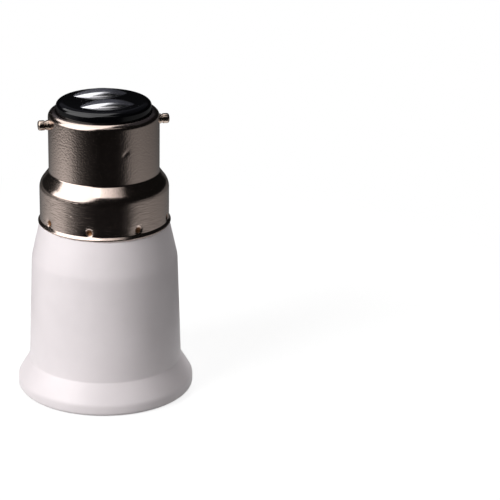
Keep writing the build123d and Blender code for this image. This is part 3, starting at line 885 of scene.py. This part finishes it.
# Roof face: overhead at the left, with slanting ends.
roof_sides = ((-1.5, -1.2), (0.08, 0.28))
roof_edge_fade = (-0.1, 0.1)
roof_back_stops = {-1.3: -1.2, -0.75: -1.15, -0.5: -0.7, -0.1: -0.55}
roof_front_stops = {-0.5: 0.85, -0.12: 0.62, 0.1: 0.3, 0.18: -0.1, 0.26: -0.5}
roof_glow = 1.7
roof_back = [between_stops(right, roof_back_stops) + fade for fade in roof_edge_fade]
roof_front = [between_stops(right, roof_front_stops) + fade for fade in roof_edge_fade]
roof_light = roof_glow * within(right, *roof_sides) * within(front, roof_back, roof_front)

# Fill face: a strip overhead at the front, weaker to the right.
fill_sides = ((-0.4, -0.1), (0.5, 0.72))
fill_ends = ((0.48, 0.6), (0.76, 0.88))
fill_glows = {-0.1: 1.8, 0.15: 1.45, 0.25: 1.15, 0.38: 0.8, 0.5: 0.5}
fill_light = between_stops(right, fill_glows) * within(right, *fill_sides) * within(front, *fill_ends)

# Back face: a faint bluish glow behind, fainter to the right.
back_sides = (0.9, 1.3)
back_end = (-2.9, -2.2)
back_glow = 0.09
back_loss = 0.6
back_loss_edge = (0.1, 0.4)
back_face = eased(front, *back_end) * (1 - eased(np.abs(right), *back_sides)) * (front < 0)
back_light = back_glow * back_face * (1 - back_loss * eased(right, *back_loss_edge))

white_light, warm_light, blue_light = (np.array(linear(tint)) for tint in ("#ffffff", "#fffdfd", "#e8eaff"))
tent_glow = (tent_dark + np.maximum(key_light, roof_light))[..., None] * white_light
tent_glow = tent_glow + back_light[..., None] * blue_light + fill_light[..., None] * warm_light
tent = stage_sheet("studio_tent", tent_radius * direction(azimuth, elevation), studio_glow, tent_glow)

# Cloth: black in front of the object and lighter at its sides. The fades give, for each distance from the
# axis, how strong its light is on the left half and on the right half. The left one falls off faster.
cloth_height = 0.3
cloth_greys = {
    -180: 0.05, -150: 0.12, -124: 0.26, -105: 0.4, -90: 0.5, -74: 0.42, -62: 0.2, -53: 0.09, -40: 0.035,
    -30: 0.015, -15: 0.006, 28: 0.006, 40: 0.025, 50: 0.13, 60: 0.19, 75: 0.2, 116: 0.155, 150: 0.1,
    180: 0.05,
}
cloth_fades = {
    45: (1.6, 1.6), 120: (1.48, 1.45), 145: (1.34, 1.2), 171: (1.1, 0.99), 179: (0.8, 0.98),
    190: (0.45, 0.96), 260: (0.3, 0.9), 420: (0.6, 0.8), 2890: (0.6, 0.6),
}
cloth_reach = np.array(list(cloth_fades))[:, None]
fade_left, fade_right = np.array(list(cloth_fades.values())).T[..., None]
cloth_fade = np.where(azimuth < 0, fade_left, fade_right)
cloth_grid = cloth_reach[..., None] * direction(azimuth, 0 * cloth_reach) + (0, 0, cloth_height)
cloth_glow = (cloth_fade * between_stops(azimuth, cloth_greys))[..., None] * white_light
cloth = stage_sheet("floor_cloth", cloth_grid, studio_glow, cloth_glow)
for sheet in (tent, cloth):
    sheet.visible_camera = False
    sheet.visible_diffuse = False
    sheet.visible_shadow = False
    sheet.visible_transmission = False

# Lamps: three soft discs at one distance, each with azimuth, elevation and watts. Metal doesn't see them.
lamp_distance = 700
lamp_size = 420
lamps = {"key_lamp": (-53, 30, 4.15), "fill_lamp": (25, 58, 0.75), "rear_lamp": (168, 32, 2.4)}
for name, (lamp_azimuth, lamp_elevation, watts) in lamps.items():
    lamp = bpy.data.lights.new(name, "AREA")
    lamp.shape = "DISK"
    lamp.size = lamp_size * MM
    lamp.energy = watts
    lamp_object = bpy.data.objects.new(name, lamp)
    away_from_object = Vector(direction(lamp_azimuth, lamp_elevation))
    lamp_object.location = away_from_object * lamp_distance * MM
    lamp_object.rotation_euler = away_from_object.to_track_quat("Z", "Y").to_euler()
    lamp_object.visible_glossy = False
    bpy.context.scene.collection.objects.link(lamp_object)

# Air: plain white behind everything, which lights the object only faintly.
ambient_strength = 0.1
studio_world = bpy.data.worlds.new("white_studio")
studio_world.use_nodes = True
studio_world.node_tree.nodes.clear()
bpy.context.scene.world = studio_world
ambient = node(studio_world, "Background", {"Color": (1, 1, 1, 1), "Strength": ambient_strength})
backdrop = node(studio_world, "Background", {"Color": (1, 1, 1, 1), "Strength": 1.0})
studio_air = node(studio_world, "MixShader", {0: seen_rays(studio_world), 1: ambient, 2: backdrop})
node(studio_world, "OutputWorld", {"Surface": studio_air})

camera = bpy.data.objects.new("camera", bpy.data.cameras.new("camera"))
camera.data.lens = camera_lens
camera.data.clip_start = 0.01
towards_camera = Vector(direction(0.0, camera_elevation))
look = towards_camera.to_track_quat("Z", "Y").to_matrix()
turn = Euler([math.radians(angle) for angle in camera_turn], "XYZ").to_matrix()
camera.matrix_world = (look @ turn).to_4x4()
camera.location = Vector(camera_aim) * MM + towards_camera * camera_distance * MM
bpy.context.scene.collection.objects.link(camera)
bpy.context.scene.camera = camera
bpy.context.scene.view_settings.view_transform = "Standard"
